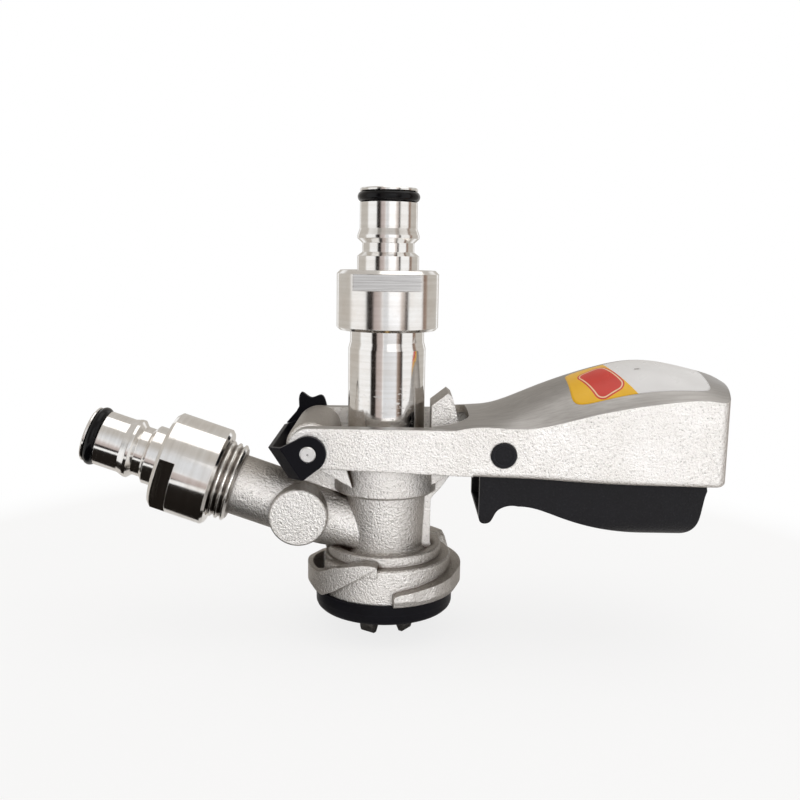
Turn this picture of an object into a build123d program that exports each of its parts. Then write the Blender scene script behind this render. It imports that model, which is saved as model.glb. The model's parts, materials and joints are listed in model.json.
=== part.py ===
from build123d import *
import os
from math import radians, sqrt, tan

# D-type keg coupler. Millimetres, +Z up. The origin is the centre of the base seal's lower face, on
# the probe's axis. The lever's handle points to +X and the gas arm to -X. At rest the lever is down,
# the probe is down and both quick-connect poppets are shut.
os.makedirs("parts", exist_ok=True)

# ---- fits and running gaps ----
fit_gap = 0.06            # radial clearance of a pin, shaft or stem in its bore
side_gap = 0.4            # side clearance between pieces that move past each other
back_wall = 2.2           # wall of the lever's back

# ---- base, flange and bayonet lugs of the body ----
seal_radius = 20.0
seal_height = 6.0
seal_bore = 12.0
seal_lip_inner = 13.6
seal_lip_outer = 16.4
seal_lip_height = 3.0
base_radius = 19.4
base_height = 9.8
rim_radius = 16.5
rim_wall = 1.6
rim_height = 2.9
lug_radius = 22.5
lug_start = -82.0
lug_toe_chamfer = 1.2
lug_runout_start = 121.0
lug_runout_slope = 0.248
lug_low = 3.9
lug_high = 7.0
hump_high = 12.2
slot_half_length = 9.5
slot_wall = 0.8
slot_skin = 1.5

# ---- barrel and upper collar of the body ----
barrel_low_radius = 11.2
barrel_top_radius = 11.9
collar_radius = 14.8
collar_low = 34.5
gas_chamber_radius = 9.6
gas_chamber_top = 33.0
stem_oring_height = 40.6
stem_oring_wire = 1.2

# ---- gas arm ----
gas_tilt = 18.7
gas_axis_height = 20.4
gas_arm_radius = 8.9
gas_bore_radius = 5.0
gas_nut_reach = 51.2
gas_thread_turns = 3
gas_post_turn = -25.0
check_flange_radius = 7.6
check_flange_height = 1.6
relief_boss_radius = 8.2
relief_boss_along = 25.6
relief_boss_face = 12.5

# ---- G5/8 pipe thread shared by the probe and the gas arm ----
thread_radius = 11.45
thread_pitch = 1.814
thread_depth = 1.0

# ---- lever hinge and drive ----
hinge_x = -20.5
hinge_z = 48.8
hinge_pin_radius = 2.2
hinge_barrel_radius = 6.7
hinge_barrel_rise = 0.9
hinge_barrel_edge = 1.5
web_half = 3.0
rib_outer = 12.6
rib_inner = 9.0
drive_radius = 3.0
drive_axle_radius = 1.9
drive_groove_gap = 0.45

# ---- lever casting ----
arm_outer = 19.5
arm_inner = 15.5
arm_top = 55.5
crotch_x = 23.2
crotch_corner = 7.0
handle_end = 94.8
handle_corner_x = 91.8
handle_corner = 3.2
handle_low_edge = 1.4
handle_half = 20.3
swell_x = 34.0
end_wall = 2.0

# ---- catch post and its fin on the body ----
catch_radius = 41.5
catch_half = 6.7
catch_back = 12.8
catch_top = 63.7
catch_top_back = 60.1
fin_x = 13.2
fin_half = 3.0

# ---- trigger ----
trigger_x = 32.1
trigger_z = 48.9
trigger_pin_radius = 2.5
trigger_head_radius = 3.5
trigger_head_depth = 1.4
trigger_half = 14.6
trigger_wall = 2.2
trigger_ear_radius = 3.8
trigger_front = 26.3
pawl_half = 5.0

# ---- hinge clip ----
clip_ear = 1.7
clip_eye_radius = 4.9
clip_band_inner = 7.7
clip_band = 1.1
clip_slant = 33.5
clip_slant_top = 6.9
clip_slant_low = -3.2
clip_corner_start = 5.3
clip_corner_slope = 1.3
clip_corner_room = 0.2

# ---- probe ----
tube_radius = 11.0
neck_radius = 10.5
neck_low = 75.6
neck_cone = 2.0
post_seat = 80.85
stem_radius = 9.2
stem_low = 28.0
flange_height = 2.2
probe_tube_radius = 7.5
probe_tube_low = 2.5
beer_bore = 4.5
ball_radius = 4.8
ball_cage_radius = 5.5
ball_cage_top = 16.0
ball_travel = 1.6
crown_bore = 3.6
crown_flange_radius = 9.0
crown_flange_height = 2.0
crown_reach = 7.0
crown_legs = 4
crown_turn = -34.0
tip_seal_radius = 9.3

# ---- ball-lock quick-connect post, the same on the probe and on the gas arm ----
post_length = 39.15
nut_radius = 14.4
nut_height = 16.65
nut_chamfer = 1.0
flat_distance = 11.05
flat_low = 11.2
flat_high = 15.6
thread_room = 10.6
washer_height = 1.6
washer_bore = 4.2
plug_radius = 8.05
plug_ridge_radius = 8.7
plug_groove_radius = 7.3
post_oring_wire = 1.5
post_oring_height = 36.8
poppet_bore = 5.6
poppet_seat_low = 31.5
poppet_seat_high = 34.0
poppet_mouth = 3.4
poppet_stem = 2.3
spring_wire = 0.45

# ---- heights and places worked out from the sizes above ----
base_low = seal_height
base_top = base_low + base_height
rim_top = base_top + rim_height
lug_inner = base_radius - 0.8
slot_inner = rim_radius + slot_wall
slot_outer = lug_radius - slot_skin
body_top = hinge_z - drive_radius - 0.6
drive_x = 0.0
groove_half = drive_radius + drive_groove_gap
probe_flange_top = hinge_z - groove_half
probe_flange_low = probe_flange_top - flange_height
stud_tip = stem_radius + 0.6
thread_end = thread_room - washer_height
probe_top = post_seat + thread_end
check_pocket_low = gas_nut_reach + thread_end - check_flange_height


def turned(*points):
    """A solid of revolution about Z from (radius, height) corners."""
    return revolve(make_face(Plane.XZ * Polyline(*points, close=True)), Axis.Z)


def across(face, y_from, y_to):
    """A plate whose XZ outline reaches from y_from to y_to."""
    return Pos(0, y_to, 0) * extrude(Plane.XZ * face, y_to - y_from)


def rod_y(x, z, radius, y_from, y_to):
    """A round bar along Y at (x, z)."""
    return across(Pos(x, z) * Circle(radius), y_from, y_to)


def cylinder_z(radius, z_from, z_to):
    """A round bar along Z on the probe's axis."""
    return Pos(0, 0, z_from) * extrude(Circle(radius), z_to - z_from)


def gas_place(reach=0.0):
    """The gas arm's axis, at a distance out from the probe's axis, with local +Z pointing out."""
    return Pos(0, 0, gas_axis_height) * Rot(0, gas_tilt - 90, 0) * Pos(0, 0, reach)


def beer_place():
    """The seat of the beer post on the probe."""
    return Pos(0, 0, post_seat)


def coil(mean_radius, wire, height, turns):
    """A round-wire compression or torsion spring standing on z = 0 along local Z."""
    pitch = (height - 2 * wire) / turns
    path = Pos(0, 0, wire) * Helix(pitch, pitch * turns, mean_radius)
    section = Plane(origin=path @ 0, z_dir=path % 0) * RegularPolygon(wire, 6)
    return sweep(section, path=path)


# ---------------------------------------------------------------- body

def base_and_barrel():
    """Base cylinder, dished flange with its raised rim, and the tapered barrel."""
    dish_low = base_top + 1.6
    return turned(
        (0, base_low),
        (base_radius, base_low),
        (base_radius, base_top - 0.5),
        (base_radius - 0.5, base_top),
        (rim_radius, base_top),
        (rim_radius, rim_top - 0.4),
        (rim_radius - 0.4, rim_top),
        (rim_radius - rim_wall, rim_top),
        (barrel_low_radius + 1.2, dish_low),
        (barrel_low_radius, dish_low + 1.0),
        (barrel_top_radius, collar_low),
        (collar_radius - 0.6, collar_low),
        (collar_radius, collar_low + 0.6),
        (collar_radius, body_top - 0.6),
        (collar_radius - 0.6, body_top),
        (0, body_top),
    )


def lug_section(angle, low, high, inner):
    """One radial section of a bayonet lug, past its outer radius."""
    plane = Plane.XZ.rotated((0, 0, angle))
    return plane * Pos((inner + lug_radius + 1) / 2, (low + high) / 2) * Rectangle(
        lug_radius + 1 - inner, high - low)


def lug(ramp_start, ramp_end):
    """A bayonet lug: a low lead-in, a rising run and a stop hump whose underside runs out."""
    stations = (
        (0, lug_low - 0.6),
        (4, lug_low),
        (42, (lug_low + lug_high) / 2),
        (82, lug_high - 0.2),
        (ramp_start, lug_high + 0.1),
        ((ramp_start + ramp_end) / 2, (lug_high + hump_high) / 2 + 0.4),
        (ramp_end, hump_high - 0.6),
        (157, hump_high),
        (162, hump_high),
        (167, hump_high - 0.2),
    )
    sections = []
    for turn, high in stations:
        low = max(0.0, lug_runout_slope * (turn - lug_runout_start))
        sections.append(lug_section(lug_start + turn, base_low + low, base_low + high, lug_inner))
    ring = loft(sections, ruled=True)
    return ring & lug_envelope()


def lug_envelope():
    """The turned outside of the lugs, with the chamfer round their toes."""
    toe_top = base_low + 1.6 * lug_toe_chamfer
    top = base_low + hump_high + 1
    return turned((0, base_low), (lug_radius - lug_toe_chamfer, base_low), (lug_radius, toe_top),
                  (lug_radius, top), (0, top))


def hump_bridge():
    """The stop hump's root, which fills the ledge between the lug and the rim."""
    sections = []
    high = base_low + hump_high - 0.8
    for turn in (150, 158, 167):
        sections.append(lug_section(lug_start + turn, base_top - 2, high, rim_radius - 1))
    bridge = loft(sections, ruled=True)
    return bridge & cylinder_z(base_radius + 0.6, base_low, rim_top)


def flange_slot():
    """The core slot through the flange under the gas arm, between the rim and the lug's wall."""
    ring = cylinder_z(slot_outer, base_low - 1, rim_top) - cylinder_z(slot_inner, base_low - 2, rim_top + 1)
    window = Pos(-slot_outer, 0, base_low + 6) * Box(2 * (slot_outer - 12), 2 * slot_half_length, 20)
    return ring & window


def gas_arm():
    """The slanted gas arm with its thread, its blank relief boss and the root at the barrel."""
    thread_low = gas_nut_reach - thread_pitch * gas_thread_turns
    arm = cylinder_z(gas_arm_radius, 0, thread_low + 0.3)
    boss = Rot(90, 0, 0) * extrude(Circle(relief_boss_radius), relief_boss_face)
    boss = Pos(0, 0, relief_boss_along) * chamfer(boss.edges().group_by(Axis.Y)[0], 0.4)
    along = arm + boss + pipe_thread(thread_low, gas_nut_reach + thread_end)
    return gas_place() * along


def pipe_thread(low, high):
    """The thread's crests and roots as turned rings between two heights, with chamfered ends."""
    root = thread_radius - thread_depth
    points = [(0, low), (root, low)]
    turns = int((high - low) / thread_pitch)
    for turn in range(turns):
        start = low + turn * thread_pitch
        points.append((thread_radius, start + 0.40 * thread_pitch))
        points.append((thread_radius, start + 0.60 * thread_pitch))
        points.append((root, start + thread_pitch))
    points.append((root, high))
    points.append((0, high))
    return turned(*points)


def hinge_mount():
    """The hinge barrel between the lever's arms, its thin web and its two ribs to the collar."""
    barrel_half = arm_inner - side_gap
    barrel = rod_y(hinge_x, hinge_z + hinge_barrel_rise, hinge_barrel_radius, -barrel_half, barrel_half)
    barrel = fillet(barrel.edges().filter_by(GeomType.CIRCLE), hinge_barrel_edge)
    under = Pos(hinge_x, 0, hinge_z - hinge_pin_radius - 1.8 - 10) * Box(40, 2 * arm_outer, 20)
    barrel -= under
    foot_x = hinge_x - 3.0
    foot_z = gas_axis_height - foot_x * tan(radians(gas_tilt))
    web_face = make_face(Polyline(
        (hinge_x - 4.6, hinge_z - 2.0),
        (foot_x, foot_z),
        (-barrel_low_radius, foot_z - 4),
        (-barrel_low_radius, body_top - 1),
        (hinge_x + 4.6, hinge_z + 3.2),
        close=True))
    web = across(web_face, -web_half, web_half)
    rib_face = make_face(Polyline(
        (hinge_x + 1.0, hinge_z - 5.5),
        (-tube_radius + 2, collar_low + 3),
        (-tube_radius - 0.6, body_top + 0.4),
        (hinge_x + 3.0, hinge_z + 5.1),
        close=True))
    ribs = across(rib_face, rib_inner - 1, rib_outer) + across(rib_face, -rib_outer, 1 - rib_inner)
    return barrel + web + ribs


def catch_arc(z):
    """X of the catch face, which is round about the hinge, at a height."""
    return hinge_x + sqrt(catch_radius ** 2 - (z - hinge_z) ** 2)


def catch_post():
    """The post that the trigger's tooth runs along and hooks under, with its fin down to the flange."""
    low = hinge_z - 7.8
    high = catch_top - 1.0
    face = make_face(
        Polyline((catch_arc(low), low), (collar_radius - 3, low - 4.5), (catch_back - 1, body_top - 2),
                 (catch_back, body_top), (catch_back, catch_top_back),
                 (catch_arc(high) - 1.2, catch_top), (catch_arc(high), high))
        + ThreePointArc((catch_arc(high), high), (hinge_x + catch_radius, hinge_z), (catch_arc(low), low)))
    post = across(face, -catch_half, catch_half)
    notch = Pos(catch_arc(low) + 1.1, 0, low + 3.0) * Box(4.0, 2 * catch_half + 2, 4.4)
    flare = Spline(
        (fin_x, collar_low - 3.3), (fin_x + 1.3, collar_low - 0.7), (fin_x + 3.5, collar_low + 1.9),
        (fin_x + 5.2, collar_low + 4.4), (catch_arc(low) - 0.3, low), tangents=((0, 1), (0.4, 1)))
    fin_face = make_face(
        flare + Polyline((catch_arc(low) - 0.3, low), (catch_back - 3, low + 3),
                         (barrel_low_radius - 2, collar_low + 3), (barrel_low_radius - 2, base_top + 1),
                         (fin_x + 0.6, base_top + 1), (fin_x, base_top + 4), (fin_x, collar_low - 3.3)))
    fin = across(fin_face, -fin_half, fin_half)
    return post - notch + fin


def body_bores():
    """The stem's guide bore, its O-ring groove, the gas chamber and the base's seal groove."""
    guide = cylinder_z(stem_radius + fit_gap, gas_chamber_top - 1, body_top + 1)
    counterbore = cylinder_z(tube_radius + side_gap, probe_flange_low - side_gap, body_top + 1)
    groove_half_width = stem_oring_wire + 0.1
    groove = cylinder_z(stem_radius + fit_gap + 2 * stem_oring_wire,
                        stem_oring_height - groove_half_width, stem_oring_height + groove_half_width)
    chamber = cylinder_z(gas_chamber_radius, base_low - 1, gas_chamber_top)
    lip_groove = (cylinder_z(seal_lip_outer, base_low - 1, base_low + seal_lip_height)
                  - cylinder_z(seal_lip_inner, base_low - 2, base_low + seal_lip_height + 1))
    return guide + counterbore + groove + chamber + lip_groove


def gas_bores():
    """The gas way down the arm and the pocket for the check valve."""
    bore = cylinder_z(gas_bore_radius, gas_chamber_radius - 3, gas_nut_reach + thread_end + 1)
    pocket = cylinder_z(check_flange_radius, check_pocket_low, gas_nut_reach + thread_end + 1)
    return gas_place() * (bore + pocket)


def body():
    """The one-piece cast coupler body."""
    solid = base_and_barrel()
    for turn, ramp_start, ramp_end in ((0, 113, 121), (180, 117, 150)):
        solid += Rot(0, 0, turn) * (lug(ramp_start, ramp_end) + hump_bridge())
    solid = solid + gas_arm() + hinge_mount() + catch_post()
    solid -= flange_slot()
    solid -= body_bores()
    solid -= gas_bores()
    solid -= rod_y(hinge_x, hinge_z, hinge_pin_radius + fit_gap, -arm_outer, arm_outer)
    return solid


def base_seal():
    """The rubber ring that seats on the keg valve, with the lip that holds it in the base."""
    ring = turned((seal_bore, 0.6), (seal_bore + 0.6, 0), (seal_radius, 0),
                  (seal_radius, seal_height), (seal_bore, seal_height))
    lip_top = seal_height + seal_lip_height
    lip = turned((seal_lip_inner, seal_height - 0.5), (seal_lip_outer, seal_height - 0.5),
                 (seal_lip_outer, lip_top), (seal_lip_inner, lip_top))
    return ring + lip


def stem_oring():
    """The O-ring in the body that seals the probe's stem."""
    return Pos(0, 0, stem_oring_height) * Torus(stem_radius + fit_gap + stem_oring_wire, stem_oring_wire)


def gas_check_valve():
    """The rubber duckbill in the gas arm that stops beer from running back up the gas line."""
    flange = cylinder_z(check_flange_radius, check_pocket_low, check_pocket_low + check_flange_height)
    bill_low = check_pocket_low - 9.0
    bill_radius = gas_bore_radius - 0.3
    tube = cylinder_z(bill_radius, bill_low, check_pocket_low + 0.5)
    wedge_face = make_face(Polyline((0.8, bill_low - 1), (8, bill_low - 1), (8, check_pocket_low - 1),
                                    (bill_radius, check_pocket_low - 1), close=True))
    wedge = across(wedge_face, -8, 8)
    tube = tube - wedge - mirror(wedge, Plane.YZ)
    mouth = cylinder_z(bill_radius - 1.4, check_pocket_low - 1, check_pocket_low + check_flange_height + 1)
    return gas_place() * (flange + tube - mouth)


# ---------------------------------------------------------------- hinge

def hinge_pin():
    """The steel pin through both arms and the body's hinge barrel."""
    end = arm_outer + side_gap + clip_ear + 0.3
    pin = rod_y(hinge_x, hinge_z, hinge_pin_radius, -end, end)
    return chamfer(pin.edges().filter_by(GeomType.CIRCLE), 0.3)


def clip_outline():
    """The clip's side outline: a round eye with a straight-sided foot at its lower left."""
    band_top = clip_corner(clip_slant_top)
    band_low = clip_corner(clip_slant_low)
    eye = Circle(clip_eye_radius)
    foot = make_face(Polyline((-2.6, 4.1), (-7.2, 1.7), band_top, band_low, (-1.0, -7.0), (3.1, -3.7),
                              close=True))
    return Pos(hinge_x, hinge_z) * (eye + foot)


def clip_corner(along):
    """A corner on the band's outer face, at a distance along it from the foot of the pin's normal."""
    normal = Vector(1, 0).rotate(Axis.Z, 180 + clip_slant)
    side = Vector(0, 1).rotate(Axis.Z, 180 + clip_slant)
    corner = normal * (clip_band_inner + clip_band) - side * along
    return corner.X, corner.Y


def clip_horns():
    """The rear ear's upper edge with its two finger horns."""
    top_x, top_z = clip_corner(clip_slant_top)
    blade = make_face(
        Polyline((-3.5, 0), (top_x + 0.3, top_z), (-7.8, 4.5), (-6.9, 6.1), (-7.0, 8.4))
        + Spline((-7.0, 8.4), (-5.9, 10.5), (-3.1, 8.9), (-0.5, 9.7), (1.3, 7.8))
        + Polyline((1.3, 7.8), (3.5, 0), (-3.5, 0)))
    return Pos(hinge_x, hinge_z) * blade


def clip_section(half, corner, reach):
    """The clip's U across its band, filled: straight ears whose corners slant in to the band."""
    slanted = half - clip_corner_slope * (reach - corner)
    face = make_face(Polyline((-20, half), (corner, half), (reach, slanted), (reach, -slanted),
                              (corner, -half), (-20, -half), close=True))
    outwards = Vector(1, 0, 0).rotate(Axis.Y, 180 - clip_slant)
    plane = Plane(origin=(hinge_x, 0, hinge_z), x_dir=outwards, z_dir=outwards.cross(Vector(0, 1, 0)))
    return extrude(plane * face, 30, both=True)


def hinge_clip():
    """The sprung plastic clip that keeps the hinge pin in place."""
    inner = arm_outer + side_gap
    outer = inner + clip_ear
    shell = across(clip_outline(), -outer, outer)
    shell = shell & clip_section(outer, clip_corner_start, clip_band_inner + clip_band)
    shell -= clip_section(inner, clip_corner_start + clip_corner_room, clip_band_inner)
    shell += across(clip_horns(), inner, outer)
    return shell - rod_y(hinge_x, hinge_z, hinge_pin_radius, -outer - 1, outer + 1)


# ---------------------------------------------------------------- quick-connect posts

def post():
    """The ball-lock post: wrench collar with its thread room, and the grooved plug."""
    solid = turned(
        (0, 0), (nut_radius - 0.8, 0), (nut_radius, 0.8),
        (nut_radius, nut_height - nut_chamfer), (nut_radius - nut_chamfer, nut_height),
        (plug_ridge_radius, nut_height), (plug_ridge_radius, nut_height + 3.9),
        (plug_groove_radius, nut_height + 5.0), (plug_groove_radius, nut_height + 7.5),
        (plug_ridge_radius, nut_height + 8.8), (plug_ridge_radius, nut_height + 9.6),
        (plug_radius, nut_height + 11.5), (plug_radius, post_length - 0.3),
        (plug_radius - 0.3, post_length), (0, post_length))
    groove = (cylinder_z(plug_ridge_radius + 1, post_oring_height - post_oring_wire - 0.05,
                         post_oring_height + post_oring_wire + 0.05)
              - cylinder_z(plug_ridge_radius - 2 * post_oring_wire, 0, post_length))
    for side in (0, 180):
        flat = Pos(0, -flat_distance - 10, (flat_low + flat_high) / 2) * Box(60, 20, flat_high - flat_low)
        solid -= Rot(0, 0, side) * flat
    room = turned(
        (0, -1), (thread_radius + fit_gap, -1), (thread_radius + fit_gap, thread_room),
        (poppet_bore, thread_room), (poppet_bore, poppet_seat_low), (poppet_mouth, poppet_seat_high),
        (poppet_mouth, post_length - 1.2), (poppet_mouth + 1.4, post_length + 0.2), (0, post_length + 0.2))
    return solid - groove - room


def post_oring():
    """The O-ring near the post's end."""
    return Pos(0, 0, post_oring_height) * Torus(plug_ridge_radius - post_oring_wire, post_oring_wire)


def washer():
    """The flat washer between the threaded end and the post; the poppet's spring stands on it."""
    disc = cylinder_z(thread_radius - 0.6, thread_end, thread_room)
    return disc - cylinder_z(washer_bore, 0, thread_room + 1)


def poppet():
    """The sprung valve in the post: a head with a push stem above and a spring guide below."""
    head_low = poppet_seat_low - 2.0
    return turned(
        (0, head_low - 6), (poppet_stem - 0.5, head_low - 6), (poppet_stem, head_low - 5.5),
        (poppet_stem, head_low), (poppet_bore - 0.5, head_low), (poppet_bore - 0.5, poppet_seat_low - 0.6),
        (poppet_stem, poppet_seat_low - 0.6), (poppet_stem, post_length - 1.0),
        (poppet_stem - 0.4, post_length - 0.6), (0, post_length - 0.6))


def poppet_seal():
    """The rubber ring on the poppet that closes against the post's cone."""
    low = poppet_seat_low - 0.6
    return turned((poppet_stem, low), (poppet_bore - 0.6, low), (poppet_bore - 0.6, low + 0.6),
                  (poppet_mouth + 0.6, low + 2.0), (poppet_stem, low + 2.0))


def poppet_spring():
    """The poppet's return spring, between the washer and the poppet's head."""
    height = poppet_seat_low - 2.0 - thread_room
    return Pos(0, 0, thread_room) * coil(poppet_bore - 1.0, spring_wire, height - 0.02, 6)


# ---------------------------------------------------------------- probe

def probe():
    """The drawn and turned probe: threaded head, polished tube, drive groove, stem and lower tube."""
    outside = turned(
        (0, probe_tube_low), (probe_tube_radius, probe_tube_low), (probe_tube_radius, stem_low - 0.8),
        (stem_radius, stem_low + 0.9), (stem_radius, probe_flange_low),
        (tube_radius, probe_flange_low), (tube_radius, probe_flange_top), (stem_radius, probe_flange_top),
        (stem_radius, hinge_z + groove_half), (tube_radius - 0.4, hinge_z + groove_half),
        (tube_radius, hinge_z + groove_half + 0.4), (tube_radius, neck_low),
        (neck_radius, neck_low + neck_cone), (neck_radius, post_seat + 1), (0, post_seat + 1))
    thread = pipe_thread(post_seat + 0.5, probe_top)
    bore = turned(
        (0, probe_tube_low - 1), (ball_cage_radius, probe_tube_low - 1), (ball_cage_radius, ball_cage_top),
        (beer_bore, ball_cage_top + 1), (beer_bore, probe_top + 1), (0, probe_top + 1))
    pin_hole = rod_y(0, ball_stop_height(), 0.8 + fit_gap, -probe_tube_radius - 1, probe_tube_radius + 1)
    return outside + thread - bore - pin_hole


def ball_rest():
    """Height of the check ball's centre when it sits on the crown's bore."""
    return probe_tube_low + 1.5 + sqrt(ball_radius ** 2 - crown_bore ** 2) + 0.08


def ball_stop_height():
    """Height of the stop pin above the check ball."""
    return ball_rest() + ball_travel + ball_radius + 0.8 + 0.3


def check_ball():
    """The loose ball that stops beer from running back."""
    return Pos(0, 0, ball_rest()) * Sphere(ball_radius)


def ball_stop_pin():
    """The cross pin that keeps the check ball in its cage."""
    return rod_y(0, ball_stop_height(), 0.8, -probe_tube_radius, probe_tube_radius)


def probe_crown():
    """The pronged end that pushes the keg valve open, with the spigot that holds the tip seal."""
    spigot = cylinder_z(ball_cage_radius - 0.05, -crown_flange_height, probe_tube_low + 1.5)
    flange = cylinder_z(crown_flange_radius, -crown_flange_height, 0)
    legs = []
    for index in range(crown_legs):
        angle = crown_turn + index * 360 / crown_legs
        leg_face = make_face(Polyline((5.4, -0.5), (crown_flange_radius, -0.5), (crown_flange_radius, -4.6),
                                      (8.2, -crown_reach), (7.0, -crown_reach), (5.4, -4.2), close=True))
        legs.append(Rot(0, 0, angle) * across(leg_face, -2.3, 2.3))
    solid = spigot + flange
    for leg in legs:
        solid += leg & cylinder_z(crown_flange_radius, -crown_reach, 1)
    return solid - cylinder_z(crown_bore, -crown_reach - 1, probe_tube_low + 2)


def probe_tip_seal():
    """The rubber seal between the crown and the probe's tube."""
    ring = turned((ball_cage_radius - 0.05, 0), (crown_flange_radius, 0), (tip_seal_radius, 0.5),
                  (tip_seal_radius, probe_tube_low - 0.5), (probe_tube_radius, probe_tube_low),
                  (ball_cage_radius - 0.05, probe_tube_low))
    return ring


# ---------------------------------------------------------------- lever

# x, half width, lower edge, shoulder and crown of the handle
handle_stations = (
    (12.0, arm_outer, 43.3, arm_top, arm_top + 0.1),
    (20.0, arm_outer, 43.0, arm_top + 0.2, 58.6),
    (34.0, arm_outer, 42.5, arm_top + 0.7, 61.0),
    (45.0, 19.6, 42.1, 57.4, 65.9),
    (54.0, 19.8, 41.6, 59.7, 69.2),
    (64.0, 20.0, 41.2, 61.9, 72.1),
    (76.0, 20.2, 41.0, 63.8, 72.9),
    (86.0, handle_half, 40.9, 64.6, 71.0),
    (97.0, handle_half, 40.9, 64.8, 65.9),
)


def domed_section(x, half, low, shoulder, crown):
    """One upright section of the handle, drawn past its sides: a round back over a straight lower edge."""
    rise = crown - shoulder
    radius = (half ** 2 + rise ** 2) / (2 * rise)
    wide = half + 2
    edge = crown - radius + sqrt(radius ** 2 - wide ** 2)
    outline = (Polyline((-wide, edge), (-wide, low), (wide, low), (wide, edge))
               + ThreePointArc((wide, edge), (0, crown), (-wide, edge)))
    return Plane(origin=(x, 0, 0), x_dir=(0, 1, 0), z_dir=(1, 0, 0)) * make_face(outline)


def handle_plan(side_inset, end_inset, corner_radius):
    """The handle in plan, set in from its sides and its bulged end, with round corners."""
    side = arm_outer - side_inset
    end_side = handle_half - side_inset
    corner = handle_corner_x - end_inset
    outline = make_face(
        Polyline((10, side), (swell_x, side), (corner, end_side))
        + ThreePointArc((corner, end_side), (handle_end - end_inset, 0), (corner, -end_side))
        + Polyline((corner, -end_side), (swell_x, -side), (10, -side), (10, side)))
    return fillet(outline.vertices().filter_by_position(Axis.X, corner - 0.1, corner + 0.1), corner_radius)


def handle_outside():
    """The handle's outer form, with its lower end edge rounded."""
    sections = []
    for station in handle_stations:
        sections.append(domed_section(*station))
    form = loft(sections) & extrude(handle_plan(0, 0, handle_corner), 100)
    low_end = form.edges().filter_by_position(Axis.X, handle_corner_x - 1.5, handle_end)
    return fillet(low_end.group_by(Axis.Z)[0], handle_low_edge)


def handle_inside():
    """The room under the handle's back for the trigger."""
    sections = []
    for x, half, low, shoulder, crown in handle_stations:
        sections.append(domed_section(x, half, low - 6, shoulder - back_wall - 0.4, crown - back_wall))
    side_wall = arm_outer - arm_inner
    return loft(sections) & extrude(handle_plan(side_wall, end_wall, handle_corner - end_wall), 100)


def lever_arms():
    """The two arms in side view, before the fork is cut: rounded at the hinge."""
    low_left = hinge_z - 4.2
    face = make_face(Polyline(
        (hinge_x, low_left), (17.5, 43.1), (24.0, 42.9), (24.0, arm_top), (hinge_x, arm_top), close=True))
    end = Pos(hinge_x, (arm_top + low_left) / 2) * Circle((arm_top - low_left) / 2)
    return across(face + end, -arm_outer, arm_outer)


def fork_slot():
    """The fork's gap, with round corners at the crotch."""
    plan = Pos((crotch_x - 60) / 2, 0) * RectangleRounded(crotch_x + 60, 2 * arm_inner, crotch_corner)
    return Pos(0, 0, 20) * extrude(plan, 60)


def lever():
    """The cast lever: a fork on the hinge with inward drive axles, and a hollow domed handle."""
    solid = lever_arms() + handle_outside() - handle_inside() - fork_slot()
    for side in (-1, 1):
        axle = rod_y(drive_x, hinge_z, drive_axle_radius, stud_tip, arm_inner + 1)
        solid += axle if side > 0 else mirror(axle, Plane.XZ)
        head = rod_y(trigger_x, trigger_z, trigger_head_radius + fit_gap, arm_outer - trigger_head_depth,
                     arm_outer + 2)
        solid -= head if side > 0 else mirror(head, Plane.XZ)
    solid -= rod_y(hinge_x, hinge_z, hinge_pin_radius + fit_gap, -arm_outer - 1, arm_outer + 1)
    solid -= rod_y(trigger_x, trigger_z, trigger_pin_radius + fit_gap, -arm_outer - 1, arm_outer + 1)
    return solid


def drive_rollers():
    """The two rollers on the lever's inward axles, which run in the probe's groove."""
    ring = (rod_y(drive_x, hinge_z, drive_radius, stud_tip, arm_inner - 0.1)
            - rod_y(drive_x, hinge_z, drive_axle_radius + fit_gap, stud_tip - 1, arm_inner))
    return [ring, mirror(ring, Plane.XZ)]


def trigger_pin():
    """The trigger's pivot pin with its two flush round heads."""
    pin = rod_y(trigger_x, trigger_z, trigger_pin_radius, -arm_outer, arm_outer)
    head = rod_y(trigger_x, trigger_z, trigger_head_radius, arm_outer - trigger_head_depth, arm_outer + 0.4)
    head = chamfer(head.edges().filter_by(GeomType.CIRCLE).group_by(Axis.Y)[-1], 0.3)
    recess = rod_y(trigger_x, trigger_z, trigger_head_radius - 0.9, arm_outer + 0.1, arm_outer + 1)
    head = head - recess
    return pin + head + mirror(head, Plane.XZ)


def trigger_spring():
    """The torsion spring round the trigger's pin."""
    turns = coil(trigger_pin_radius + 1.0, 0.5, 8.0, 5)
    return Pos(trigger_x, 4.0, trigger_z) * Rot(90, 0, 0) * turns


# ---------------------------------------------------------------- trigger

def trigger_outline():
    """The trigger in side view: finger tooth at the front, finger recess and long belly."""
    tooth = Spline((37.0, 33.5), (33.0, 33.2), (31.2, 32.0), (30.1, 30.0), (29.1, 28.6), (27.7, 28.3),
                   (trigger_front, 29.8))
    belly = Spline((37.0, 33.5), (40.5, 33.2), (47.5, 31.0), (57.0, 27.9), (67.0, 25.9), (76.0, 25.1),
                   (82.8, 25.2))
    heel = Spline((82.8, 25.2), (85.5, 26.8), (87.7, 32.0), (89.1, 38.6))
    top = Polyline((89.1, 38.6), (88.2, 45.0), (trigger_front, 45.0), (trigger_front, 29.8))
    return make_face(tooth + belly + heel + top)


def trigger_room():
    """The trigger's hollow in side view, open at the top and along the front."""
    lower = Spline((40.5, 35.4), (47.8, 33.2), (57.3, 30.1), (67.0, 28.1), (76.0, 27.3), (81.8, 27.4))
    edges = (Polyline((86.0, 60.0), (86.0, 38.0), (84.2, 30.0), (81.8, 27.4))
             + lower
             + Polyline((40.5, 35.4), (32.6, 35.4), (29.6, 33.4), (28.4, 30.4), (20.0, 30.4), (20.0, 60.0),
                        (86.0, 60.0)))
    return make_face(edges)


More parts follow.
